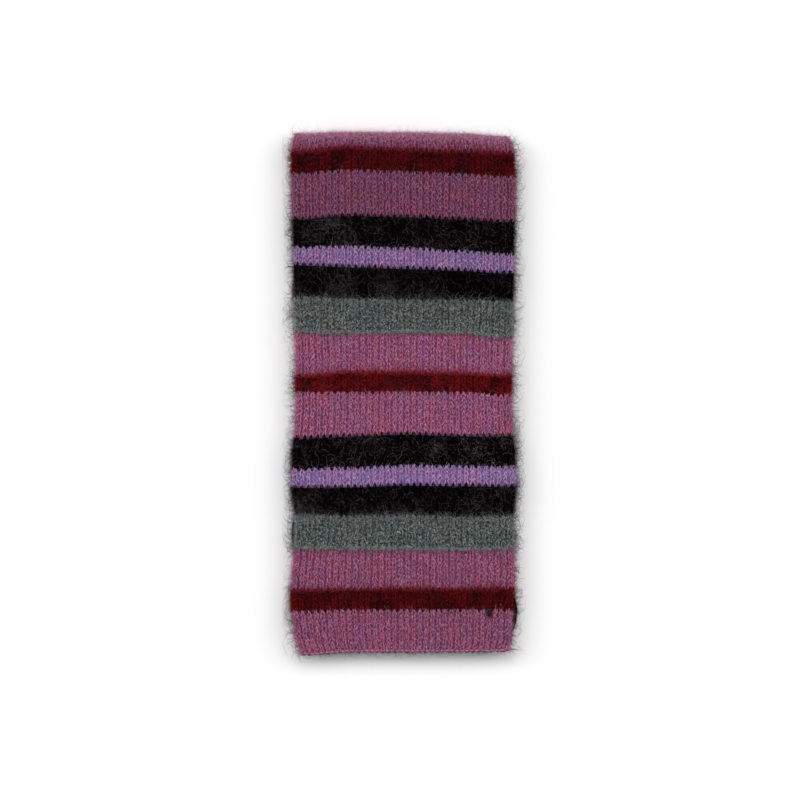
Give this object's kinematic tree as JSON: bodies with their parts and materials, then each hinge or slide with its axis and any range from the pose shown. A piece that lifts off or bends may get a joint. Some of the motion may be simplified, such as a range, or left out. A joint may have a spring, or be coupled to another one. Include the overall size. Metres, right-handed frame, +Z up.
{
  "type": "knit scarf",
  "caption": "Striped brushed rib-knit scarf, folded in half twice into a flat stack of layers with rounded folds at both ends.",
  "frame": {"origin": "on the surface that carries the scarf, under the middle of the folded stack", "axes": "+Y along the scarf to its far fold, +X across it to the right, +Z up, away from the surface"},
  "size_m": [0.1768, 0.4028, 0.0162],
  "materials": {
    "mauve_yarn": "brushed heathered mauve-pink mohair-blend knit",
    "wine_yarn": "brushed dark red mohair-blend knit",
    "black_yarn": "brushed black mohair-blend knit",
    "lavender_yarn": "brushed lavender mohair-blend knit",
    "grey_yarn": "brushed heathered charcoal-grey mohair-blend knit"
  },
  "bodies": {
    "root": {"top_stretch": "mauve_yarn", "under_stretch": "grey_yarn", "near_fold": "lavender_yarn", "hidden_layers": "black_yarn"}
  },
  "joints": []
}
